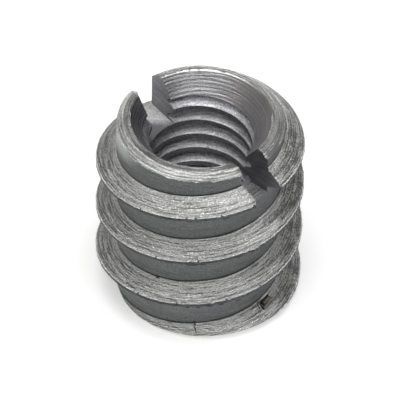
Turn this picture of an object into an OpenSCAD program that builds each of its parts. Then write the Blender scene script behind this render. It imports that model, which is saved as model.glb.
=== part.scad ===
// Screw-in threaded insert: a turned sleeve that is driven into wood and takes a machine screw.
// A coarse right-hand thread runs round the outside, a bore and countersink take the screw, and a
// sawn slot across the top takes the driver. Millimetres; +Z is up, out of the slotted end. The
// origin is the centre of the lower end face, and the slot runs along X.

/* [Sleeve] */
// Height from the lower end face to the slotted rim
length = 14.2; // [10:0.1:24]
// Diameter of the smooth core between the turns of the thread
core_d = 11.0; // [9.8:0.1:12.4]
// How far in from the core's surface the top chamfer starts, on the slotted end face
top_chamfer_inset = 0.45; // [0:0.05:0.9]
// Slope of the top chamfer, measured from the axis, in degrees
top_chamfer_angle = 45; // [30:1:60]
// Slope of the lead-in chamfer, which starts at the core's surface on the lower end face
nose_chamfer_angle = 65; // [35:1:75]

/* [Coarse outer thread] */
// Diameter over the crests
thread_d = 13.7; // [12.6:0.1:16.8]
// Rise of one turn
thread_pitch = 3.9; // [3:0.1:6]
// Angle between the two flanks, in degrees
thread_angle = 56; // [40:1:60]
// Height of the narrow flat left on the crest
crest_land = 0.24; // [0.1:0.02:0.6]
// Direction round the axis at which the crest crosses the lower end face, in degrees
thread_start = 321.7; // [0:0.1:360]
// How far below the slotted end the ridge has died away into the core
run_out_depth = 0.3; // [0:0.1:1.5]
// Turn over which it dies away, in degrees
run_out_turn = 45; // [20:5:120]
// Straight steps that make up one turn
thread_steps = 72; // [24:4:96]

/* [Bore] */
// Inner diameter of the screw thread's crests, which is the plain wall of the bore
bore_d = 6.8; // [5:0.1:8.2]
// Width of the flat rim left between the countersink and the top chamfer
rim_flat = 0.45; // [0.1:0.05:0.9]
// Full angle of the countersink, in degrees
countersink_angle = 70; // [60:1:120]
// Depth of the 45 degree chamfer at the bore's lower mouth
bore_exit_chamfer = 0.4; // [0.1:0.05:0.8]

/* [Driver slot] */
// Width of the slot, which is the thickness of the saw
slot_w = 2.25; // [1:0.05:4]
// Depth of the slot below the rim, at its deepest point
slot_depth = 3.6; // [2:0.05:6]
// How far the slot's centre plane lies off the axis, along Y
slot_offset = -0.35; // [-0.8:0.05:0.8]
// Diameter of the slitting saw, whose edge leaves the slot's floor slightly hollow
saw_d = 60; // [40:1:100]
// Place of the saw's centre along X
saw_x = 1.1; // [-2:0.1:2]

/* [Hidden] */

// Facets of a full circle
$fn = 144;
// How far cutters pass the faces that they open
overcut = 1;
// How far the thread's root is sunk into the core, and its crest where the ridge ends
root_sink = 0.4;
crest_sink = 0.1;

crest_r = thread_d / 2;
core_r = core_d / 2;
bore_r = bore_d / 2;
rim_r = core_r - top_chamfer_inset;
countersink_r = rim_r - rim_flat;

// Height that one flank gains between the core and the crest
flank_rise = (crest_r - core_r) * tan(thread_angle / 2);
// Height of the ridge where it meets the core, and where it ends inside the core
ridge_base = crest_land + 2 * flank_rise;
sunk_base = ridge_base + 2 * root_sink * tan(thread_angle / 2);

// Heights at which the two chamfers reach a cylinder that just clears the crests
clear_r = crest_r + overcut;
nose_chamfer_h = (clear_r - core_r) / tan(nose_chamfer_angle);
top_chamfer_h = (clear_r - rim_r) / tan(top_chamfer_angle);

countersink_h = (countersink_r - bore_r) / tan(countersink_angle / 2);

// Height of the ridge's centre line in a direction round the axis, and the direction at a height
function ridge_z(angle) = (angle - thread_start) / 360 * thread_pitch;
function ridge_angle(z) = z / thread_pitch * 360 + thread_start;

// The helix is cut into equal steps, counted so that one step always lies on the X axis
step_angle = 360 / thread_steps;
first_step = floor(ridge_angle(-sunk_base) / step_angle);
last_step = floor(ridge_angle(length - run_out_depth) / step_angle);
run_out_end = last_step * step_angle;
// Share of its full size that the ridge's section keeps at that end, inside the core
end_size = (root_sink - crest_sink) / (crest_r - core_r + root_sink);

// Section of the ridge in the plane through the axis, as [radius, height above its centre line]
root_r = core_r - root_sink;
ridge_section = [
    [root_r, -sunk_base / 2],
    [crest_r, -crest_land / 2],
    [crest_r, crest_land / 2],
    [root_r, sunk_base / 2]
];

// The section shrinks towards its root in the run-out, and is at its full size before that
function ridge_size(angle) = end_size + (1 - end_size) * min(1, (run_out_end - angle) / run_out_turn);

function section_at(angle) = [
    for (p = ridge_section)
        let (size = ridge_size(angle), r = root_r + size * (p[0] - root_r))
        [r * cos(angle), r * sin(angle), size * p[1] + ridge_z(angle)]
];

// One long ridge swept up the helix, from below the lower end face to its run-out near the top
module thread_ridge() {
    n = len(ridge_section);
    rings = [for (i = [first_step : last_step]) section_at(i * step_angle)];
    points = [for (ring = rings) for (p = ring) p];
    first_cap = [for (k = [n - 1 : -1 : 0]) k];
    last_cap = [for (k = [0 : n - 1]) (len(rings) - 1) * n + k];
    // Each side of the section becomes two triangles per step
    sides = [
        for (i = [0 : len(rings) - 2]) for (k = [0 : n - 1])
            let (a = i * n + k, b = i * n + (k + 1) % n)
            each [[a, b, a + n], [b, b + n, a + n]]
    ];
    polyhedron(points, concat([first_cap], sides, [last_cap]), convexity = 10);
}

// The bar that the sleeve is turned from, with the chamfer of each end
module turned_blank() {
    rotate_extrude()
        polygon([
            [0, 0],
            [core_r, 0],
            [clear_r, nose_chamfer_h],
            [clear_r, length - top_chamfer_h],
            [rim_r, length],
            [0, length]
        ]);
}

module core() {
    translate([0, 0, -overcut])
        cylinder(h = length + 2 * overcut, r = core_r);
}

// Screw bore with its countersink above and its small chamfer below
module screw_bore() {
    translate([0, 0, -overcut])
        cylinder(h = length + 2 * overcut, r = bore_r);
    rotate_extrude()
        polygon([
            [0, length - countersink_h],
            [bore_r, length - countersink_h],
            [countersink_r, length],
            [countersink_r, length + overcut],
            [0, length + overcut]
        ]);
    rotate_extrude()
        polygon([
            [0, -overcut],
            [bore_r + bore_exit_chamfer, -overcut],
            [bore_r + bore_exit_chamfer, 0],
            [bore_r, bore_exit_chamfer],
            [0, bore_exit_chamfer]
        ]);
}

// Pass of the slitting saw straight across the slotted end
module saw_cut() {
    translate([saw_x, slot_offset, length - slot_depth + saw_d / 2])
        rotate([90, 0, 0])
            cylinder(h = slot_w, d = saw_d, center = true);
}

module insert() {
    color("silver")
        difference() {
            intersection() {
                union() {
                    core();
                    thread_ridge();
                }
                turned_blank();
            }
            screw_bore();
            saw_cut();
        }
}

insert();
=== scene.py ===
# %% [markdown]
# # A slotted insert of turned steel
#
# A screw-in insert is a short steel sleeve. A coarse thread outside bites into wood, a fine thread
# inside takes a machine screw, and a sawn slot across the top takes the driver. The solid model
# already fixes its size and place, so this lesson dresses that frame: it builds the turned surface
# with its burrs and nicks, gives it the finish of cut steel, and lights it as in a small studio.

# %% Open the frame
import math

import bmesh
import bpy
import numpy as np
from mathutils import Matrix, Vector


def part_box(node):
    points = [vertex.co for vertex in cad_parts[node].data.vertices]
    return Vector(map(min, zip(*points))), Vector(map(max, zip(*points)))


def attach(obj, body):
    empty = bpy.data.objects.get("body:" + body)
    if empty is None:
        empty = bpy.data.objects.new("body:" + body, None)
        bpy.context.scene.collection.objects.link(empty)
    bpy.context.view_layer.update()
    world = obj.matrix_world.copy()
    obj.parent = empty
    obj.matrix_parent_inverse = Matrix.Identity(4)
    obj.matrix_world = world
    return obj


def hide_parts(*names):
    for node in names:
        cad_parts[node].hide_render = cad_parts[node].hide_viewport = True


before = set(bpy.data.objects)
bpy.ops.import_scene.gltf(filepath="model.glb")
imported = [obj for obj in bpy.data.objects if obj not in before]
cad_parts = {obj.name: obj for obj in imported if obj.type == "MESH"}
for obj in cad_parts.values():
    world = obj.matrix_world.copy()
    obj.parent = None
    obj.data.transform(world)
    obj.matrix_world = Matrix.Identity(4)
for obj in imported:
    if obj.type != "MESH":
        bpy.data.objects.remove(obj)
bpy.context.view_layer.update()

# %% [markdown]
# ## Driving sizes
#
# Everything is worked out in millimetres, because the boolean cuts below are safer on numbers near
# one than on thousandths, and the finished mesh is shrunk to metres at the end. Length and outer
# diameter are read from the frame. The rest repeats the sizes that the solid model is cut to: the
# core and its rim, the bore with its countersink, the coarse thread and the driver slot. Only the
# screw thread is new here, because the solid model leaves its bore plain.

# %% Sleeve sizes
MM = 0.001
insert_low, insert_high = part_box("insert")
length = float(insert_high[2] - insert_low[2]) / MM
crest_r = float(insert_high[0] - insert_low[0]) / 2 / MM
core_r = 5.5
bore_r = 3.4
rim_r = core_r - 0.45
countersink_r = rim_r - 0.45
countersink_slope = math.tan(math.radians(35))
countersink_h = (countersink_r - bore_r) / countersink_slope
nose_slope = math.tan(math.radians(65))
bore_exit = 0.4
edge_z = length - (core_r - rim_r)
overcut = 1.0
clear_r = crest_r + overcut
print("length", round(length, 2), "crest radius", round(crest_r, 3))
print("countersink depth", round(countersink_h, 2))

# %% Thread sizes
pitch = 3.9
thread_start = 321.7
run_out_depth = 0.3
run_out_turn = 45.0
flank_slope = math.tan(math.radians(28))
crest_land = 0.24
root_sink = 0.4
screw_pitch = 1.25
screw_root_r = 4.0
screw_root_flat = screw_pitch / 8
screw_mouth = 0.15
screw_slope = math.tan(math.radians(30))
screw_land_top = 11.65
print("outer turns", round(length / pitch, 2), "inner turns", round(length / screw_pitch, 2))

# %% Slot sizes
slot_w = 2.25
slot_depth = 3.6
slot_y = -0.35
near_wall = slot_y - slot_w / 2
far_wall = slot_y + slot_w / 2
saw_r = 30.0
saw_x = 1.1
print("slot walls at y", round(near_wall, 3), "and", round(far_wall, 3))

# %% [markdown]
# ## Ways of making a surface
#
# Two shapes cover almost all turned work. A lathe profile spun about the axis gives cores, chamfers
# and bores, and a small section swept up a helix gives threads. Both are written straight as
# points and faces, so that each ring can be nudged by unevenness where the tool tore the metal. A
# modifier stack with a Screw modifier would give the same form, but every turn would be
# perfectly even, and real turned crests are not.


# %% Rings of points into one closed solid
def tube_faces(ring_count, ring_size):
    """Faces that join equal rings in a row, with a cap at each end."""
    faces = []
    for i in range(ring_count - 1):
        here, there = i * ring_size, (i + 1) * ring_size
        for k in range(ring_size):
            after = (k + 1) % ring_size
            faces.append((here + k, there + k, there + after, here + after))
    faces.append(tuple(range(ring_size)))
    faces.append(tuple(range((ring_count - 1) * ring_size, ring_count * ring_size))[::-1])
    return faces


def make_object(name, points, faces):
    """A new object in the scene from points and the faces that join them."""
    mesh = bpy.data.meshes.new(name)
    mesh.from_pydata([tuple(p) for p in points], [], faces)
    mesh.update()
    made = bpy.data.objects.new(name, mesh)
    bpy.context.scene.collection.objects.link(made)
    return made


# %% Lathe and helix
FACETS = 360


def facet_angles(first):
    """Directions of a lathe shape's facets, in degrees."""
    return first + np.arange(FACETS) * 360.0 / FACETS


def lathe(name, profile, first):
    """Spins a profile of (radius, height) rows, from its lower end to its upper one, into a solid.

    A radius or height is one number, or an array with one value for each facet. The first facet
    starts at `first` degrees. Each shape has its own start, so that no two share an edge, which
    would make the boolean cuts uncertain.
    """
    turn = np.radians(facet_angles(first))
    rings = [np.stack([radius * np.cos(turn), radius * np.sin(turn), height + 0 * turn], axis=1)
             for radius, height in profile]
    faces = [face[::-1] for face in tube_faces(len(profile), FACETS)]
    return make_object(name, np.concatenate(rings), faces)


def helix(name, angles, sections, heights):
    """Sweeps sections of (radius, height) points, one for each angle, up a helix."""
    turn = np.radians(angles)[:, None]
    radius, rise = sections[:, :, 0], sections[:, :, 1] + heights[:, None]
    points = np.stack([radius * np.cos(turn), radius * np.sin(turn), rise], axis=2)
    return make_object(name, points.reshape(-1, 3), tube_faces(len(angles), sections.shape[1]))


# %% Cutting and joining
def combine(target, tool, how):
    """Applies one boolean to target and throws the tool away. Both have to be closed solids."""
    step = target.modifiers.new(how, "BOOLEAN")
    step.operation = how
    step.solver = "MANIFOLD"
    step.object = tool
    graph = bpy.context.evaluated_depsgraph_get()
    result = bpy.data.meshes.new_from_object(target.evaluated_get(graph))
    target.modifiers.clear()
    target.data = result
    bpy.data.objects.remove(tool)
    print(how.lower(), "leaves", len(result.polygons), "faces")


# %% [markdown]
# ## The coarse thread
#
# The outer thread was cut with a pointed tool that left a flat about a quarter of a millimetre wide
# on the crest. The soft steel tore a little there, so the crest's lower edge carries a thin burr
# that hangs down unevenly. One section every degree is fine enough for smooth flanks, and the
# burr comes from seeded noise that is worked out for each section.


# %% Unevenness
def wander(angles, spacing, seed):
    """Smooth noise between -1 and 1 that takes a new value every `spacing` degrees."""
    low = angles.min() - spacing
    count = int((angles.max() - low) / spacing) + 4
    knots = np.random.default_rng(seed).uniform(-1, 1, count)
    return np.interp(angles, low + spacing * np.arange(count), knots)


def wander_round(angles, spacing, seed):
    """The same noise on a closed ring, where it meets itself after a full turn."""
    count = round(360 / spacing)
    knots = np.random.default_rng(seed).uniform(-1, 1, count)
    return np.interp(angles, np.arange(count) * 360 / count, knots, period=360)


# %% Where the ridge runs
def ridge_angle(height):
    """Angle along the thread, in degrees, at which the middle of the ridge reaches a height."""
    return height / pitch * 360 + thread_start


step = 1.0
below_end = 1.4
ridge_start = math.floor(ridge_angle(-below_end) / step) * step
ridge_end = math.floor(ridge_angle(length - run_out_depth) / 5) * 5
ridge_angles = np.arange(ridge_start, ridge_end + step / 2, step)
print("ridge from", ridge_angles[0], "to", ridge_angles[-1], "degrees")

# %% Where the crest tore
# Each stretch that tore badly has a start and an end in degrees along the thread, and a weight. The
# damage comes up and dies away over four degrees.
TORN_STRETCHES = [
    (640, 662, 0.8),
    (664, 716, 1.2),
    (1000, 1024, 0.7),
    (1023, 1044, 1.4),
    (1056, 1083, 3.0),
    (1340, 1362, 0.8),
    (1380, 1404, 0.8),
    (1403, 1428, 2.6),
]

rough = 0 * ridge_angles
for start, end, extra in TORN_STRETCHES:
    rough += extra * np.clip(np.minimum(ridge_angles - start, end - ridge_angles) / 4, 0, 1)
tear = np.clip(wander(ridge_angles, 40.0, 6) + 0.6, 0, 1) + rough
burr = 0.06 * np.clip(wander(ridge_angles, 1.2, 3), 0, 1) * tear
droop = 0.09 * np.clip(wander(ridge_angles, 2.0, 5) + 0.3, 0, 1) * tear
print("burr up to", round(burr.max(), 3), "mm, hanging down up to", round(droop.max(), 3), "mm")


# %% Rows of the flanks
def flank(radius, side, depth, seed):
    """One row of the lower (-1) or upper (1) flank, with a groove as deep as the tool left it."""
    torn_band = 0.45
    ripple = depth * wander(ridge_angles, 14.0, seed)
    if radius > crest_r - torn_band:
        ripple -= 0.022 * rough * np.clip(wander(ridge_angles, 1.3, seed + 90), 0, 1)
    height = side * (crest_land / 2 + (crest_r - radius) * flank_slope) + ripple
    return radius + 0 * ridge_angles, height


root_r = core_r - root_sink
under = np.linspace(core_r + 0.1, crest_r - 0.2, 5)
over = np.linspace(crest_r - 0.2, core_r + 0.07, 10)
lower_flank = [flank(root_r, -1, 0.0, 0)]
lower_flank += [flank(radius, -1, 0.006, 20 + i) for i, radius in enumerate(under)]
upper_flank = [flank(radius, 1, 0.008, 40 + i) for i, radius in enumerate(over)]
upper_flank += [flank(root_r, 1, 0.0, 0)]
print("rows on the flanks:", len(lower_flank), "and", len(upper_flank))

# %% Rows of the crest
edge = 0.04
half = crest_land / 2
flat = 0 * ridge_angles
crest_rows = [
    (crest_r - edge + flat, -(half + edge * flank_slope) + flat),
    (crest_r - 0.2 * edge + 0.6 * burr, -(half - 0.2 * edge) - droop),
    (crest_r - 0.1 * edge + 0.5 * burr, -0.3 * half + flat),
    (crest_r - 0.1 * edge + burr, half - 0.5 * edge + 0.3 * burr),
    (crest_r - 0.6 * edge + 0.2 * burr, half + 0.1 * edge + 0.6 * burr),
    (crest_r - 2.0 * edge + flat, half + 2.0 * edge * flank_slope + flat),
]
print("rows on the crest:", len(crest_rows))

# %% Sweep the ridge, and let it die away at the top
sections = np.array(lower_flank + crest_rows + upper_flank).transpose(2, 0, 1)
end_size = (root_sink - 0.1) / (crest_r - root_r)
share = end_size + (1 - end_size) * np.minimum(1, (ridge_end - ridge_angles) / run_out_turn)
sections[:, :, 0] = root_r + share[:, None] * (sections[:, :, 0] - root_r)
sections[:, :, 1] *= share[:, None]
ridge = helix("outer_ridge", ridge_angles, sections, (ridge_angles - thread_start) / 360 * pitch)
print("ridge points:", len(ridge.data.vertices))

# %% [markdown]
# ## The turned blank
#
# The blank is what the lathe leaves: a 45 degree chamfer round the top and a flatter one that leads
# into the wood. Core and ridge are joined first and then cut back to the blank's outline, so that
# both chamfers run straight through the thread as they do on the real part. The tool pushed a ragged
# burr over the chamfer's lower edge, most of it in front, and a thin one up round the countersink.

# %% Core with the burr that the top chamfer pushed out
core_first = 0.41
around = facet_angles(core_first)
ragged = np.clip(np.cos(np.radians(around + 55)), 0.15, 1)
tall = 0.2 + wander_round(around, 1.0, 11) + 0.5 * wander_round(around, 12.0, 12)
lip = 0.06 * ragged * np.clip(tall, 0, 1.3)
sleeve = lathe("threaded_sleeve", [
    (core_r + 0 * around, -overcut),
    (core_r + 0 * around, edge_z - 0.3),
    (core_r + 0 * around, edge_z - lip - 0.02),
    (core_r + lip, edge_z - lip),
    (core_r + lip + 0.02, edge_z + 0.05),
    (core_r + 0 * around, length + overcut),
], core_first)
combine(sleeve, ridge, "UNION")


# %% Rows along a straight cut
def turned_rows(start, end, count, depth, first, seed):
    """Rows along a straight cut from start to end, each a little off it, as the tool left them."""
    angles = facet_angles(first)
    along = (end[0] - start[0], end[1] - start[1])
    size = math.hypot(*along)
    rows = []
    for i in range(1, count):
        off = depth * wander_round(angles, 12.0, seed + i)
        share = i / count
        rows.append((start[0] + share * along[0] + off * along[1] / size,
                     start[1] + share * along[1] - off * along[0] / size))
    return rows


# %% Trim both ends to the blank
blank_first = 0.23
lift = 0.05 * np.clip(0.5 + wander_round(facet_angles(blank_first), 2.5, 71), 0, 1)
chamfer_foot, chamfer_top = (clear_r, length - (clear_r - rim_r)), (rim_r, length)
blank = lathe("blank", [
    (core_r, 0.0),
    (clear_r, (clear_r - core_r) / nose_slope),
    chamfer_foot,
] + turned_rows(chamfer_foot, chamfer_top, 18, 0.008, blank_first, 300) + [
    chamfer_top,
    (rim_r - 0.15, length - 0.008),
    (rim_r - 0.3, length + 0.004),
    (countersink_r + 0.16, length),
    (countersink_r + 0.09, length + lift),
    (countersink_r - 0.1, length + lift),
], blank_first)
combine(sleeve, blank, "INTERSECT")

# %% [markdown]
# ## Bore, countersink and screw thread
#
# The drill and the countersink are one lathe shape. A narrow worn edge, a tenth of a millimetre
# wide, joins the countersink to the rim, and it is the line that shines. The screw thread is a
# groove with 60 degree flanks and a flat root, swept up inside, and it runs out into the
# countersink by itself because the cone is already wider than the groove there.

# %% Cut the bore and the countersink
cone_low = (bore_r, length - countersink_h)
cone_high = (countersink_r - 0.02, length - 0.02 / countersink_slope)
bore_first = 0.31
bore = lathe("bore", [
    (bore_r + bore_exit, -overcut),
    (bore_r + bore_exit, 0.0),
    (bore_r, bore_exit),
    cone_low,
] + turned_rows(cone_low, cone_high, 14, 0.008, bore_first, 500) + [
    cone_high,
    (countersink_r + 0.09, length + 0.024),
    (countersink_r + 0.1, length + overcut),
], bore_first)
combine(sleeve, bore, "DIFFERENCE")


# %% Cut the screw thread
def screw_groove():
    """The groove of the screw thread, a little wider than the bore at its open side."""
    step = 3.0
    first = math.floor(-1.5 / screw_pitch * 360 / step) * step
    last = math.ceil((length + 0.5) / screw_pitch * 360 / step) * step
    angles = np.arange(first, last + step, step)
    bottom = screw_root_flat / 2
    mouth_r = bore_r - screw_mouth
    mouth = bottom + (screw_root_r - mouth_r) * screw_slope
    land = screw_pitch - 2 * (bottom + (screw_root_r - bore_r) * screw_slope)
    below_top = round(length / screw_pitch) - 3
    heights = (angles / 360 - below_top) * screw_pitch + screw_land_top - (screw_pitch + land) / 2
    outline = [(mouth_r, -mouth), (screw_root_r, -bottom), (screw_root_r, bottom), (mouth_r, mouth)]
    sections = np.repeat(np.array(outline)[None], len(angles), axis=0)
    print("screw thread land", round(land, 3), "mm")
    return helix("screw_groove", angles, sections, heights)


combine(sleeve, screw_groove(), "DIFFERENCE")


# %% [markdown]
# ## The driver slot
#
# A slitting saw cut the slot in one pass, so its floor is slightly hollow. The cutter here is a
# slice of that saw: an arc of its rim below, and plain sides up past the rim of the sleeve.

# %% Saw the slot
def slot_floor(x):
    """Height of the slot's floor, an arc of the saw's rim with its lowest point at saw_x."""
    return length - slot_depth + saw_r - np.sqrt(saw_r ** 2 - (x - saw_x) ** 2)


def saw_slice():
    """The part of the saw that passes through the sleeve."""
    reach = 8.0
    across = np.linspace(-reach, reach, 49)
    outline = list(zip(across, slot_floor(across)))
    outline += [(reach, length + overcut), (-reach, length + overcut)]
    points = [(x, y, z) for y in (near_wall, far_wall) for x, z in outline]
    return make_object("saw", points, tube_faces(2, len(outline)))


combine(sleeve, saw_slice(), "DIFFERENCE")

# %% [markdown]
# ## Burrs and damage
#
# The saw pushed thin lips of metal over the edges of its slot, and handling left a few nicks. A lip
# is a thin strip whose height wanders, and a nick is a small box taken out of the surface. Both are
# real geometry, because they show against the light edge of a flank, where a bump would stay flat.


# %% Where the surface is
def flank_height(angle, radius):
    """Height of the ridge's upper flank at an angle along the thread."""
    return (angle - thread_start) / 360 * pitch + crest_land / 2 + (crest_r - radius) * flank_slope


def top_height(radius):
    """Height of the countersink, the rim or the top chamfer at a distance from the axis."""
    return length - max(0, countersink_r - radius) / countersink_slope - max(0, radius - rim_r)


def along_slot(wall_y, start_r, end_r, side, height_at, count=24):
    """Points along the edge of one slot wall, on the +X side (1) or the -X side (-1)."""
    places = []
    for radius in np.linspace(start_r, end_r, count):
        x = side * math.sqrt(radius ** 2 - wall_y ** 2)
        places.append((x, wall_y, height_at(radius, math.degrees(math.atan2(wall_y, x)))))
    return np.array(places)


# %% A lip of metal
def lip_strip(path, out, reach, thick, seed):
    """A closed ragged strip along a path, standing out by up to `reach` and fading at both ends."""
    share = np.linspace(0, 100, len(path))
    fade = np.minimum(1, 0.2 + np.minimum(share, 100 - share) / 12)
    tall = (reach * fade * np.clip(0.6 + 0.5 * wander(share, 7.0, seed), 0.1, 1))[:, None]
    out, up = np.array(out, float), np.array((0.0, 0.0, 1.0))
    inside = path - 0.1 * out
    tip = path + tall * out
    corners = [inside + 0.012 * up, tip + 0.25 * thick * up, tip - 0.4 * thick * up, inside - thick * up]
    points = np.stack(corners, axis=1)
    return points.reshape(-1, 3), tube_faces(len(path), 4)


def join_solids(name, solids):
    """One object from several closed solids, with every face turned outward."""
    points, faces = [], []
    for solid_points, solid_faces in solids:
        faces += [tuple(i + len(points) for i in face) for face in solid_faces]
        points += [tuple(p) for p in solid_points]
    made = make_object(name, points, faces)
    shape = bmesh.new()
    shape.from_mesh(made.data)
    bmesh.ops.recalc_face_normals(shape, faces=shape.faces)
    shape.to_mesh(made.data)
    shape.free()
    return made


# %% Heights along the slot's edges
top_turn = 4 * 360


def on_top(radius, angle):
    """Height of the mouth's edge, which is the same all round."""
    return top_height(radius)


def on_flank(radius, angle):
    """Height of the uppermost turn of the ridge, which the slot cuts through."""
    return flank_height(top_turn + angle, radius)


# %% Lips along the slot
lips = [
    lip_strip(along_slot(far_wall, 4.62, 5.45, 1, on_top), (0, -1, 0), 0.17, 0.06, 1),
    lip_strip(along_slot(far_wall, 3.9, 4.6, 1, on_top), (0, -1, 0), 0.06, 0.05, 2),
    lip_strip(along_slot(far_wall, 5.56, 6.8, 1, on_flank), (0, -1, 0), 0.12, 0.07, 3),
    lip_strip(along_slot(near_wall, 5.52, 6.78, 1, on_flank), (0, 1, 0), 0.17, 0.12, 4),
    lip_strip(along_slot(near_wall, 4.7, 5.46, 1, on_top), (0, 1, 0), 0.1, 0.07, 5),
    lip_strip(along_slot(near_wall, 4.65, 5.4, -1, on_top), (0, 1, 0.6), 0.12, 0.1, 6),
    lip_strip(along_slot(far_wall, 4.65, 5.3, -1, on_top), (0, -1, 0.3), 0.06, 0.06, 7),
]
combine(sleeve, join_solids("lips", lips), "UNION")


# %% A chip of metal
def chip(angle, radius, height, size, lean):
    """A box to cut away. Its size is given outward, round the axis and upward, and it may lean."""
    outward = Vector((math.cos(math.radians(angle)), math.sin(math.radians(angle)), 0))
    turn = Matrix.Rotation(math.radians(lean), 3, outward)
    round_way, upward = turn @ Vector((-outward.y, outward.x, 0)), turn @ Vector((0, 0, 1))
    centre = radius * outward + Vector((0, 0, height))
    deep, wide, tall = size
    points = [centre + a * deep / 2 * outward + b * wide / 2 * round_way + c * tall / 2 * upward
              for a in (-1, 1) for b, c in ((-1, -1), (1, -1), (1, 1), (-1, 1))]
    return points, tube_faces(2, 4)


def flank_chip(angle, radius, size, lean, raised=0.0):
    """A chip that is centred on the upper flank, or `raised` a little above it."""
    return chip(angle, radius, flank_height(angle, radius) + raised, size, lean)


# %% The notch, the crack and the small nicks
notch_angle, notch_r = 366.3, 5.86
crack_angle = 313.2
damage = [
    flank_chip(notch_angle, notch_r, (0.5, 0.95, 0.36), 15, raised=0.01),
    flank_chip(notch_angle - 4.8, notch_r, (0.6, 0.11, 0.5), 0),
    flank_chip(notch_angle - 2.4, notch_r - 0.1, (0.34, 0.07, 0.5), 8),
    flank_chip(notch_angle - 6.4, notch_r - 0.1, (0.4, 0.07, 0.4), -20),
    flank_chip(crack_angle, 5.5, (0.5, 0.08, 0.46), 12, raised=0.12),
    chip(crack_angle + 0.7, 5.67, flank_height(crack_angle, 5.67), (0.3, 0.07, 0.3), -25),
    flank_chip(crack_angle + 1.5, 5.92, (0.34, 0.06, 0.3), 20),
    flank_chip(637.7, 6.8, (0.3, 0.12, 0.3), 25),
    flank_chip(634.0, 6.66, (0.12, 0.4, 0.16), 5),
    flank_chip(663.7, 6.84, (0.22, 0.09, 0.3), -15, raised=-0.12),
    flank_chip(646.7, 5.52, (0.12, 0.28, 0.08), 4),
    flank_chip(1350.7, 6.5, (0.12, 0.3, 0.12), 10),
    flank_chip(1497.0, 6.82, (0.12, 0.16, 0.2), 30),
]
combine(sleeve, join_solids("damage", damage), "DIFFERENCE")

# %% Shrink to metres and smooth
sleeve.data.transform(Matrix.Scale(MM, 4))
sleeve.data.shade_smooth()
sleeve.data.set_sharp_from_angle(angle=math.radians(28))
print("sleeve:", len(sleeve.data.vertices), "points")


# %% [markdown]
# ## Cut steel
#
# The flanks, the chamfers and the countersink carry the fine rings that the cutting tool left. They
# are circles about the axis, so they could be a picture wrapped round, but a picture would stretch
# at every cone. Here they are noise in ring coordinates: squeezed across the cut and drawn out along
# it, so each streak bends round the axis by itself and its scale is in millimetres.

# %% Node helpers
def add(tree, kind, inputs=None, **settings):
    """A new node. An input is either a number or colour, or the socket of another node."""
    node = tree.nodes.new(kind)
    for key, value in settings.items():
        setattr(node, key, value)
    for key, value in (inputs or {}).items():
        if isinstance(value, bpy.types.NodeSocket):
            tree.links.new(value, node.inputs[key])
        else:
            node.inputs[key].default_value = value
    return node


def maths(tree, operation, first, second=0.0, third=0.0):
    """Result of one Math node."""
    return add(tree, "ShaderNodeMath", {0: first, 1: second, 2: third}, operation=operation).outputs[0]


def total(tree, parts):
    """Sum of (value, weight) pairs."""
    result = 0.0
    for value, weight in parts:
        result = maths(tree, "MULTIPLY_ADD", value, weight, result)
    return result


def point(tree, x, y, z):
    """Three values as one place."""
    return add(tree, "ShaderNodeCombineXYZ", {0: x, 1: y, 2: z}).outputs[0]


def noise(tree, place, scale, detail=2.0, rough=0.5):
    """Smooth noise of about 0 to 1, with `scale` bumps to a unit of length."""
    inputs = {"Vector": place, "Scale": scale, "Detail": detail, "Roughness": rough}
    return add(tree, "ShaderNodeTexNoise", inputs).outputs["Fac"]


def ramp(tree, value, low, high, out_low, out_high):
    """Carries a value from low..high over to out_low..out_high, and stops at both ends."""
    inputs = {"Value": value, "From Min": low, "From Max": high, "To Min": out_low, "To Max": out_high}
    return add(tree, "ShaderNodeMapRange", inputs).outputs[0]


def distance(tree, first, second):
    """Length of the hypotenuse over two sides."""
    squares = [(maths(tree, "MULTIPLY", first, first), 1.0), (maths(tree, "MULTIPLY", second, second), 1.0)]
    return maths(tree, "SQRT", total(tree, squares))


def away_from(tree, x, y, spot_x, spot_y, weight_x=1.0, weight_y=1.0):
    """How far a place is from a spot, counted along x and along y and added up."""
    return total(tree, [(maths(tree, "ABSOLUTE", maths(tree, "SUBTRACT", x, spot_x)), weight_x),
                        (maths(tree, "ABSOLUTE", maths(tree, "SUBTRACT", y, spot_y)), weight_y)])


# %% Ring coordinates and streaks
def ring_coordinates(tree):
    """Place in mm, distance from the axis, and direction round it as x and y of a unit circle."""
    split = add(tree, "ShaderNodeSeparateXYZ", {0: add(tree, "ShaderNodeTexCoord").outputs["Object"]})
    x, y, z = [maths(tree, "MULTIPLY", split.outputs[i], 1 / MM) for i in range(3)]
    r = distance(tree, x, y)
    return x, y, z, r, maths(tree, "DIVIDE", x, r), maths(tree, "DIVIDE", y, r)


def streaks(tree, line, turn_x, turn_y, across, along, seed):
    """Noise with `across` streaks to a millimetre over the cut, and `along` to a radian round it."""
    place = point(tree, total(tree, [(line, across), (seed, 1.0)]), maths(tree, "MULTIPLY", turn_x, along),
                  maths(tree, "MULTIPLY", turn_y, along))
    return noise(tree, place, 1.0, 2.0, 0.6)


def hairlines(tree, field, width):
    """1 along the thin lines where a noise field crosses its middle, 0 elsewhere."""
    return ramp(tree, maths(tree, "ABSOLUTE", maths(tree, "SUBTRACT", field, 0.5)), 0.0, width, 1.0, 0.0)


# %% Tool marks
def across_cut(tree, line, x, z, r, turn_x, turn_y):
    """The coordinate that runs across the tool marks, and the two that run along them."""
    if line == "saw":
        out_x = maths(tree, "SUBTRACT", x, saw_x)
        out_z = maths(tree, "SUBTRACT", z, length - slot_depth + saw_r)
        return distance(tree, out_x, out_z), maths(tree, "MULTIPLY", x, 0.2), maths(tree, "MULTIPLY", z, 0.05)
    return {"r": r, "z": z}[line], turn_x, turn_y


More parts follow.
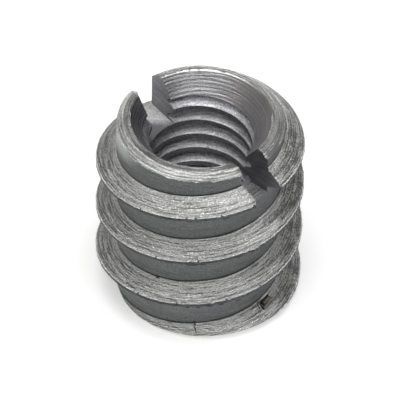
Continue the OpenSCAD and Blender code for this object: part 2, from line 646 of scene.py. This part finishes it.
def tool_marks(tree, x, y, z, cut, rings, grain_part, run, feed, feed_part):
    """Streaks, grain, feed marks and scratches, added up to a value that is 0.5 on the whole."""
    wide = streaks(tree, *cut, 6.5, 1.4 * run, 3.1)
    fine = streaks(tree, *cut, 13.0, 3.5 * run, 17.7)
    dark_scratch = hairlines(tree, streaks(tree, *cut, 6.0, 2.2 * run, 41.3), 0.035)
    light_scratch = hairlines(tree, streaks(tree, *cut, 6.5, 2.6 * run, 77.9), 0.03)
    grain = noise(tree, point(tree, x, y, z), 9.0, 3.0, 0.65)
    patch = ramp(tree, noise(tree, point(tree, x, y, z), 0.55, 1.0), 0.35, 0.6, 0.35, 1.0)
    feed_marks = maths(tree, "SINE", total(tree, [(cut[0], 2 * math.pi * feed), (wide, 5.0 * run)]))
    lines = total(tree, [(wide, 1.0 * rings), (fine, 1.5 * rings), (grain, 1.5 * grain_part),
                         (feed_marks, feed_part * rings)])
    scratches = total(tree, [(dark_scratch, -0.4 * rings), (light_scratch, 0.35 * rings)])
    middle = 0.5 * (2.5 * rings + 1.5 * grain_part) - 0.5
    scratched = maths(tree, "MULTIPLY", patch, scratches)
    return maths(tree, "ADD", maths(tree, "SUBTRACT", lines, middle), scratched)


# %% One recipe for all the cut surfaces
def steel(name, dark, light, rough, line="r", rings=1.0, grain_part=1.0, run=1.0, feed=7.0, feed_part=0.09,
          anisotropic=0.5, shade_by=None, contrast_by=None, most=1.0):
    """Metal whose streaks follow the lathe ("r"), the height ("z") or the saw ("saw").

    `rings` and `grain_part` weigh the streaks and the grain, and a small `run` draws the streaks out
    longer. The tool left `feed` marks to a millimetre, of the weight `feed_part`. `shade_by` and
    `contrast_by` change the shade and the marks from place to place, and `most` above 1 lets the
    shade go past the light colour.
    """
    material = bpy.data.materials.new(name)
    material.use_nodes = True
    tree = material.node_tree
    shader = tree.nodes["Principled BSDF"]
    shader.inputs["Metallic"].default_value = 1.0
    x, y, z, r, turn_x, turn_y = ring_coordinates(tree)
    cut = across_cut(tree, line, x, z, r, turn_x, turn_y)
    value = tool_marks(tree, x, y, z, cut, rings, grain_part, run, feed, feed_part)
    if contrast_by:
        off_middle = maths(tree, "SUBTRACT", value, 0.5)
        value = maths(tree, "MULTIPLY_ADD", off_middle, contrast_by(tree, x, y), 0.5)
    if shade_by:
        value = maths(tree, "ADD", value, shade_by(tree, x, y, z, r))
    shade = ramp(tree, value, 0.0, most, 0.0, most)
    colour = add(tree, "ShaderNodeMix", {0: shade, 6: (*dark, 1), 7: (*light, 1)}, data_type="RGBA",
                 clamp_factor=False)
    tree.links.new(colour.outputs[2], shader.inputs["Base Color"])
    tree.links.new(ramp(tree, value, 0.0, 1.0, rough + 0.06, rough - 0.05), shader.inputs["Roughness"])
    bump = add(tree, "ShaderNodeBump", {"Strength": 1.0, "Distance": 0.04 * MM, "Height": value})
    tree.links.new(bump.outputs[0], shader.inputs["Normal"])
    if anisotropic:
        shader.inputs["Anisotropic"].default_value = anisotropic
        shader.inputs["Anisotropic Rotation"].default_value = 0.25
        tangent = add(tree, "ShaderNodeTangent", direction_type="RADIAL", axis="Z")
        tree.links.new(tangent.outputs[0], shader.inputs["Tangent"])
    return material


# %% [markdown]
# ## Painted light and shade
#
# The same steel isn't equally bright all round, and most of these functions paint light and shade
# into its colour: painted shade in corners, by the slot and on the sides away from the light, and
# painted light and reflections on the sides toward it. Painting that by hand would tie it to one
# mesh, so each of these functions works out a shade from the place on the part.
# A shade of 1 is the step from a finish's dark colour to its light one.

# %% Shades of the thread
def root_painted_shade_and_reflection(tree, x, y, z, r):
    """Painted shade in a narrow band of the core just above the ridge, and a painted reflection that
    lightens the core high up on the left.

    The shade is darkest in the corner where the core meets the ridge. A coordinate that climbs with
    the thread finds that corner all the way round.
    """
    angle = maths(tree, "DEGREES", maths(tree, "ARCTAN2", y, x))
    climb = total(tree, [(z, 360 / pitch), (angle, -1.0), (thread_start + 360.0, 1.0)])
    over_ridge = maths(tree, "MULTIPLY", maths(tree, "FLOORED_MODULO", climb, 360.0), pitch / 360)
    base_top = crest_land / 2 + (crest_r - core_r) * flank_slope
    corner = ramp(tree, over_ridge, base_top + 0.05, base_top + 0.18, -1.2, 0.0)
    toward_left = total(tree, [(x, -0.94 / core_r), (y, -0.34 / core_r)])
    left = ramp(tree, toward_left, 0.34, 0.6, 0.0, 1.2)
    # Painted reflection: the upper part of the groove on the left, which mirrors the bright floor, is
    # lighter.
    reflected_light = ramp(tree, total(tree, [(over_ridge, 1.0), (toward_left, 1.46)]), 2.3, 3.1, 0.0, 1.0)
    high = ramp(tree, z, length - 3.4, length - 2.4, 0.0, 1.0)
    return maths(tree, "MULTIPLY_ADD", left, maths(tree, "MULTIPLY", reflected_light, high), corner)


def flank_painted_light_and_shade(tree, x, y, z, r):
    """Lightens the flank by the core, with painted light in front, painted shade on the left and patches of
    painted shade on the right.
    """
    root = maths(tree, "MULTIPLY", ramp(tree, r, core_r - 0.02, core_r, 0.0, 1.0),
                 ramp(tree, r, core_r, core_r + 0.35, 0.2, 0.0))
    right = ramp(tree, total(tree, [(x, 0.6 / crest_r), (y, 0.8 / crest_r)]), 0.35, 0.8, 0.0, 1.0)
    # Painted shade in patches on the right side of the flank.
    right_shade_patches = ramp(tree, noise(tree, point(tree, x, y, z), 1.6, 2.0), 0.42, 0.6, -0.18, -0.45)
    left = ramp(tree, total(tree, [(x, -0.8 / crest_r), (y, -0.6 / crest_r)]), 0.3, 0.9, 0.0, -0.2)
    front = ramp(tree, total(tree, [(x, 0.7 / crest_r), (y, -0.7 / crest_r)]), 0.3, 0.85, 0.0, 0.18)
    return total(tree, [(maths(tree, "MULTIPLY_ADD", right, right_shade_patches, root), 1.0), (left, 1.0), (front, 1.0)])


def clear_front(tree, x, y):
    """Tool marks stand out in front and fade on the left."""
    return ramp(tree, total(tree, [(x, 0.9 / crest_r), (y, -0.43 / crest_r)]), -0.6, 0.4, 0.6, 1.15)


# %% Shades of the mouth and the slot
def toward_right(tree, x, y):
    """Distance in mm from the axis toward the back right."""
    return total(tree, [(x, 0.7), (y, 0.7)])


def mouth_painted_shade_and_light(tree, x, y, z, r):
    """Painted shade on the mouth by the left end of the slot, and painted light on its right side."""
    slot_painted_shade = ramp(tree, away_from(tree, x, y, -3.9, -1.7, 0.5, 0.6), 0.6, 2.4, -0.45, 0.0)
    return maths(tree, "ADD", slot_painted_shade, ramp(tree, x, 1.5, 4.2, 0.0, 0.6))


def cone_painted_light(tree, x, y, z, r):
    """The countersink's shading: that of the mouth, and painted light that lifts its right side to an even
    grey.
    """
    right = ramp(tree, toward_right(tree, x, y), 1.8, 4.0, 0.0, 0.3)
    return maths(tree, "ADD", mouth_painted_shade_and_light(tree, x, y, z, r), right)


def even_right(tree, x, y):
    """Tool marks fade in the countersink toward the right."""
    return ramp(tree, toward_right(tree, x, y), 0.5, 3.5, 0.78, 0.4)


def chamfer_painted_shade(tree, x, y, z, r):
    """Painted shade: darkens the chamfer on the right."""
    return ramp(tree, toward_right(tree, x, y), 2.6, 4.8, 0.0, -0.5)


def rim_painted_shade_and_light(tree, x, y, z, r):
    """Painted shade darkens the front of the rim, and painted light lightens its right side."""
    front = ramp(tree, total(tree, [(x, 0.7), (y, -0.7)]), 0.5, 4.5, 0.0, -0.5)
    return maths(tree, "ADD", front, ramp(tree, toward_right(tree, x, y), 2.5, 4.5, 0.0, 0.35))


def floor_painted_shade(tree, x, y, z, r):
    """Painted shade: darkens the slot's floor on the right and in the corner by the bore."""
    corner = ramp(tree, away_from(tree, x, y, -3.5, -0.9), 0.5, 1.9, -0.9, 0.0)
    return maths(tree, "ADD", ramp(tree, x, -2.0, 3.0, 0.0, -0.4), corner)


# %% [markdown]
# ## The finishes
#
# Each kind of cut left its own finish, and all of them come from the one recipe, with a dark and a
# light colour and more or less of each mark. Flanks, chamfer and rim were turned and are bright. The
# groove between the turns is dark as a painted reflection of a dark room. The crests are nearly
# black, also as a painted reflection, and the same near-black steel paints the shade in nicks and
# between torn teeth. Burrs and worn edges are polished and catch the light.

# %% Finishes of the outside
turned = steel("turned_steel", (0.18, 0.18, 0.177), (1.0, 1.0, 0.985), 0.3, rings=1.1, grain_part=1.35,
               run=0.95, shade_by=flank_painted_light_and_shade, contrast_by=clear_front)
# Painted reflection: the groove's dark colour stands in for the dark room that the core mirrors.
groove = steel("groove_steel_painted_reflection", (0.08, 0.088, 0.094), (0.265, 0.274, 0.27), 0.45, line="z", rings=0.35,
               grain_part=0.9, anisotropic=0.0, shade_by=root_painted_shade_and_reflection, most=3.0)
chamfer = steel("chamfer_steel", (0.25, 0.25, 0.248), (0.98, 0.98, 0.965), 0.32, rings=1.4, run=0.6,
                anisotropic=0.3, shade_by=chamfer_painted_shade)
rim = steel("rim_steel", (0.26, 0.26, 0.256), (0.9, 0.9, 0.88), 0.4, rings=1.3, run=0.6,
            anisotropic=0.0, shade_by=rim_painted_shade_and_light)
# Painted reflection and shade: this near-black steel stands in for the dark room the crest lands mirror, and
# for the shade in nicks and between torn teeth.
crest = steel("crest_steel_painted_shade", (0.02, 0.02, 0.022), (0.16, 0.16, 0.165), 0.5, line="z", anisotropic=0.0)
polished = steel("polished_edge_steel", (0.55, 0.55, 0.55), (1.0, 1.0, 0.99), 0.25, rings=0.6,
                 grain_part=1.8, anisotropic=0.0)
worn = steel("worn_edge_steel", (0.36, 0.36, 0.356), (0.84, 0.84, 0.83), 0.3, rings=0.2, grain_part=0.4,
             anisotropic=0.0)

# %% Finishes of the bore and the slot
countersunk = steel("countersink_steel", (0.2, 0.195, 0.208), (0.75, 0.737, 0.755), 0.33, line="z",
                    rings=0.8, run=0.3, feed=4.8, feed_part=0.3, shade_by=cone_painted_light,
                    contrast_by=even_right, most=1.4)
screw = steel("screw_thread_steel", (0.25, 0.245, 0.26), (0.96, 0.945, 0.98), 0.36, line="z", rings=0.5,
              anisotropic=0.0, shade_by=mouth_painted_shade_and_light)
# Painted shade: the dark colour of the screw thread's lands and lower flanks stands in for the shade under
# each land.
land = steel("thread_land_steel_painted_shade", (0.1, 0.1, 0.105), (0.42, 0.42, 0.435), 0.5, line="z", rings=0.4,
             anisotropic=0.0)
sawn = steel("sawn_steel", (0.125, 0.122, 0.134), (0.39, 0.385, 0.4), 0.45, line="saw", rings=0.6,
             grain_part=0.7, anisotropic=0.0)
milled = steel("milled_floor_steel", (0.2, 0.2, 0.205), (0.98, 0.98, 0.98), 0.5, line="saw", rings=0.7,
               grain_part=0.8, anisotropic=0.0, shade_by=floor_painted_shade)
stained = steel("stained_steel", (0.22, 0.21, 0.16), (0.85, 0.82, 0.68), 0.5, anisotropic=0.0)
FINISHES = [turned, countersunk, rim, chamfer, crest, groove, screw, land, sawn, milled, stained, polished,
            worn]
print("finishes:", len(FINISHES))


# %% [markdown]
# ## Which face is what
#
# After the boolean cuts, one mesh holds every surface. Painting faces by hand would be lost at the
# next change, so each face finds its finish by where it lies: its distance from the axis, its height,
# the way it faces, and its angle along the thread. Later rules win over earlier ones.

# %% Places of the faces
NEAR = 0.03  # mm: a face whose middle is this close to a surface lies on it
mesh = sleeve.data
centre, normal = np.zeros(3 * len(mesh.polygons)), np.zeros(3 * len(mesh.polygons))
mesh.polygons.foreach_get("center", centre)
mesh.polygons.foreach_get("normal", normal)
x, y, z = centre.reshape(-1, 3).T / MM
_, facing_y, facing = normal.reshape(-1, 3).T
radius = np.hypot(x, y)
upright = abs(facing) < 0.2
finish_of = np.zeros(len(z), int)


def give(faces, finish):
    """Gives a finish to the faces for which a rule is true. All of them start as turned steel."""
    finish_of[faces] = FINISHES.index(finish)


print("faces:", len(z), "of which upright:", int(upright.sum()))

# %% Angle along the thread
# This is the direction from the axis, and as many turns as bring the ridge to the face's height.
turn = np.degrees(np.arctan2(y, x))
along = turn + 360 * np.round((z / pitch * 360 + thread_start - turn) / 360)
print("turns:", round((along.max() - along.min()) / 360, 2))

# %% Groove, crests and their bright edges
# Painted reflection: the core between the turns takes the dark groove steel.
give((abs(radius - core_r) < 0.012) & upright, groove)
# Painted reflection: the crest lands take the near-black crest steel.
give((radius > crest_r - 0.06) & (facing < 0.3), crest)

torn = np.zeros(len(z), bool)
for start, end, _ in TORN_STRETCHES:
    torn |= (along > start) & (along < end)
fleck = np.random.default_rng(8).uniform(0, 1, 4000)[(along + 1000).astype(int)]
on_edge = (radius > crest_r - 0.085) & (facing > 0.3)
give(on_edge & (fleck < np.where(torn, 0.6, 0.9)), polished)
# Painted shade: a few faces on torn edges take the near-black crest steel, as shade between the teeth.
give(on_edge & (fleck > 0.93) & torn, crest)
print("faces on torn edges:", int((on_edge & torn).sum()))

# %% Inside the nicks
# A nick lies under both flanks. A torn crest may lie 0.15 mm deep and still be no nick.
flank_top = flank_height(along, radius)
flank_bottom = flank_top - crest_land - 2 * (crest_r - radius) * flank_slope
uneven = np.where(radius < crest_r - 0.6, 0.018, 0.15)
in_ridge = (z < flank_top - uneven) & (z > flank_bottom + uneven) & (radius > core_r) & (z < length - 2)
on_nose = abs(z - (radius - core_r) / nose_slope) < NEAR
on_full_ridge = along < ridge_angle(length - run_out_depth) - run_out_turn - 10
in_nick = in_ridge & on_full_ridge & ~on_nose & (finish_of == FINISHES.index(turned))
# Painted shade: the inside of each nick takes the near-black crest steel.
give(in_nick, crest)
print("faces in nicks:", int(in_nick.sum()))

# %% Bore, countersink, rim and chamfer
cone_r = countersink_r - (length - z) * countersink_slope
on_cone = (abs(radius - cone_r) < NEAR) & (z > length - countersink_h)
in_bore = (radius < screw_root_r + 0.02) & ~on_cone & (z > bore_exit)
give(on_cone, countersunk)
give(in_bore, screw)
# Painted shade: lands and downward flanks in the bore take the dark land steel.
give(in_bore & (upright | (facing < 0)), land)
give((z > length - 0.02) & (radius < rim_r), rim)
give((abs(radius - rim_r - (length - z)) < NEAR) & (radius < core_r + 0.1), chamfer)
print("faces in the bore:", int(in_bore.sum()))

# %% Worn edge of the mouth and burr of the chamfer
on_worn = (abs(radius - countersink_r - 0.035) < 0.06) & (z > length - 0.03) & (facing < 0.97)
give(on_worn, polished)
give(on_worn & (0.7 * (y - x) > 0.4), worn)
on_burr = (radius > core_r + 0.004) & (radius < core_r + 0.12) & (abs(z - edge_z) < 0.15)
give(on_burr & (facing > 0.1), polished)
print("faces on the worn edge:", int(on_worn.sum()))

# %% Slot and its lips
off_slot = abs(y - slot_y)
above_floor = z - slot_floor(x)
give((abs(off_slot - slot_w / 2) < 0.01) & (abs(facing_y) > 0.99), sawn)
give((off_slot < slot_w / 2) & (abs(above_floor) < 0.02), milled)
on_lip = (off_slot < slot_w / 2 - 0.01) & (above_floor > 0.1) & (radius > bore_r + 0.3)
give(on_lip & (facing > -0.2) & ((radius < core_r) | (y > slot_y)), polished)
print("faces on lips:", int(on_lip.sum()))

# %% Stained floor of the notch
notch_turn = math.radians(notch_angle)
off_x = abs(x - notch_r * math.cos(notch_turn))
off_y = abs(y - notch_r * math.sin(notch_turn))
off_z = abs(z - flank_height(notch_angle, notch_r))
by_notch = np.maximum(np.maximum(off_x, off_y), off_z) < 0.46
in_notch = by_notch & (z < flank_height(notch_angle, radius) - 0.015)
give(in_notch & (facing > 0.8), stained)
# Painted shade: the notch's walls take the near-black crest steel; its floor keeps a real stain.
give(in_notch & (facing < 0.8), crest)
print("faces in the notch:", int(in_notch.sum()))

# %% Put the finishes on the sleeve
mesh.materials.clear()
for finish in FINISHES:
    mesh.materials.append(finish)
mesh.polygons.foreach_set("material_index", finish_of)
for finish, count in zip(FINISHES, np.bincount(finish_of)):
    print(finish.name, "on", int(count), "faces")

# %% Hand the sleeve over
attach(sleeve, "root")
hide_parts("insert")

# %% [markdown]
# ## Camera
#
# The camera looks down over the front of the sleeve, so that the thread, the rim and the bore all
# show. It stands far away with a long lens, which keeps the turns nearly the same size from front to
# back. Dragging it into place would do as well, but a direction, a distance and a small roll can be
# read and changed.

# %% Camera settings
# Angles are in degrees, distances in metres, and the lens is in millimetres as on a real camera.
camera_azimuth, camera_elevation, camera_roll = 45.2, 44.19, -1.23
camera_distance = 0.3262
camera_left, camera_down = 0.0000728, 0.005314
long_lens = 451.7


def direction(azimuth, elevation):
    """Unit vector from the object towards a place round it. Azimuth 0 is in front, at -Y."""
    a, e = math.radians(azimuth), math.radians(elevation)
    return Vector((math.sin(a) * math.cos(e), -math.cos(a) * math.cos(e), math.sin(e)))


# %% Place the camera
back = direction(camera_azimuth, camera_elevation)
level_right = direction(camera_azimuth + 90, 0)
level_up = back.cross(level_right)
roll = math.radians(camera_roll)
right = math.cos(roll) * level_right - math.sin(roll) * level_up
up = math.sin(roll) * level_right + math.cos(roll) * level_up
lens = bpy.data.cameras.new("camera")
lens.lens = long_lens
lens.sensor_width = 36.0
lens.clip_start = 0.01
lens.clip_end = 10.0
camera = bpy.data.objects.new("camera", lens)
bpy.context.scene.collection.objects.link(camera)
rim_centre = Vector((0, 0, length * MM))
spot = rim_centre + camera_distance * back - camera_left * right - camera_down * up
camera.matrix_world = Matrix((
    (right.x, up.x, back.x, spot.x),
    (right.y, up.y, back.y, spot.y),
    (right.z, up.z, back.z, spot.z),
    (0, 0, 0, 1)))
bpy.context.scene.camera = camera
print("camera at, in mm:", [round(side / MM, 1) for side in spot])

# %% [markdown]
# ## The floor
#
# Small parts are shown on a sheet of white paper. Pale paper alone would come out grey, and a bright
# lamp would burn the steel out before the paper turned white. So the paper glows a little, but only
# for the camera and in reflections, which leaves it its soft shadow.

# %% Floor
floor_half = 1.5
corners = [(-1, -1), (1, -1), (1, 1), (-1, 1)]
floor = make_object("floor", [(x * floor_half, y * floor_half, 0) for x, y in corners], [(0, 1, 2, 3)])
paper = bpy.data.materials.new("pale_paper")
paper.use_nodes = True
tree = paper.node_tree
sheet = tree.nodes["Principled BSDF"].inputs
sheet["Base Color"].default_value = (0.85, 0.85, 0.85, 1)
sheet["Roughness"].default_value = 0.9
sheet["Specular IOR Level"].default_value = 0.2
sheet["Emission Color"].default_value = (1, 1, 1, 1)
path = add(tree, "ShaderNodeLightPath")
mirrored = maths(tree, "MAXIMUM", path.outputs["Is Glossy Ray"], path.outputs["Is Transmission Ray"])
seen = maths(tree, "MAXIMUM", path.outputs["Is Camera Ray"], mirrored)
tree.links.new(maths(tree, "MULTIPLY", seen, 0.4), sheet["Emission Strength"])
floor.data.materials.append(paper)
print("floor is", 2 * floor_half, "m wide")

# %% [markdown]
# ## Light
#
# Bare steel shows little but what it mirrors. One wide softbox overhead draws the bright lines along
# rims and crests and throws the soft shadow. The rest of the room is a set of broad glows in the
# world, since lamps from those sides would leave hard-edged patches on the flanks. The glows from
# the left are a little yellow, as from a window.

# %% Softbox
middle = Vector((0, 0, length * MM / 2))


def softbox(name, azimuth, elevation, away, wide, tall, brightness):
    """A lamp with a rectangular face that looks at the sleeve from a direction and a distance."""
    lamp = bpy.data.lights.new(name, "AREA")
    lamp.shape = "RECTANGLE"
    lamp.size = wide
    lamp.size_y = tall
    lamp.energy = brightness * math.pi * wide * tall
    holder = bpy.data.objects.new(name, lamp)
    aim = direction(azimuth, elevation)
    holder.location = middle + away * aim
    holder.rotation_mode = "QUATERNION"
    holder.rotation_quaternion = aim.to_track_quat("Z", "Y")
    holder.visible_camera = False
    bpy.context.scene.collection.objects.link(holder)
    return holder


overhead = softbox("overhead", camera_azimuth, 85, 0.35, 0.24, 0.24, 4.6)
print("softbox at, in mm:", [round(side / MM) for side in overhead.location])

# %% Room light
world = bpy.data.worlds.new("studio")
bpy.context.scene.world = world
world.use_nodes = True
tree = world.node_tree
way = add(tree, "ShaderNodeTexCoord").outputs["Generated"]


def glow(side, elevation, spread):
    """Light that is 1 in one direction, and half as much `spread` degrees off it.

    `side` is counted in degrees to the right of the camera.
    """
    aim = direction(camera_azimuth + side, elevation)
    near = add(tree, "ShaderNodeVectorMath", {0: way, 1: aim}, operation="DOT_PRODUCT").outputs["Value"]
    fall = math.log(2) / (1 - math.cos(math.radians(spread)))
    return maths(tree, "EXPONENT", maths(tree, "MULTIPLY_ADD", near, fall, -fall))


window = total(tree, [(glow(-60, 8, 24), 0.24), (glow(-60, 32, 24), 0.11), (glow(-150, 10, 24), 0.26)])
room = total(tree, [
    (1.0, 0.06),
    (window, 1.0),
    (glow(-5, 50, 22), 1.36),
    (glow(60, 10, 24), 0.2),
    (glow(90, 20, 24), 0.14),
    (glow(180, 38, 24), 0.03),
])
window_share = maths(tree, "DIVIDE", window, room)
tint = add(tree, "ShaderNodeMix", {0: window_share, 6: (0.99, 0.995, 1.0, 1), 7: (1.0, 0.97, 0.84, 1)},
           data_type="RGBA")
tree.links.new(tint.outputs[2], tree.nodes["Background"].inputs["Color"])
tree.links.new(room, tree.nodes["Background"].inputs["Strength"])
bpy.context.scene.view_settings.view_transform = "Standard"
print("view transform:", bpy.context.scene.view_settings.view_transform)
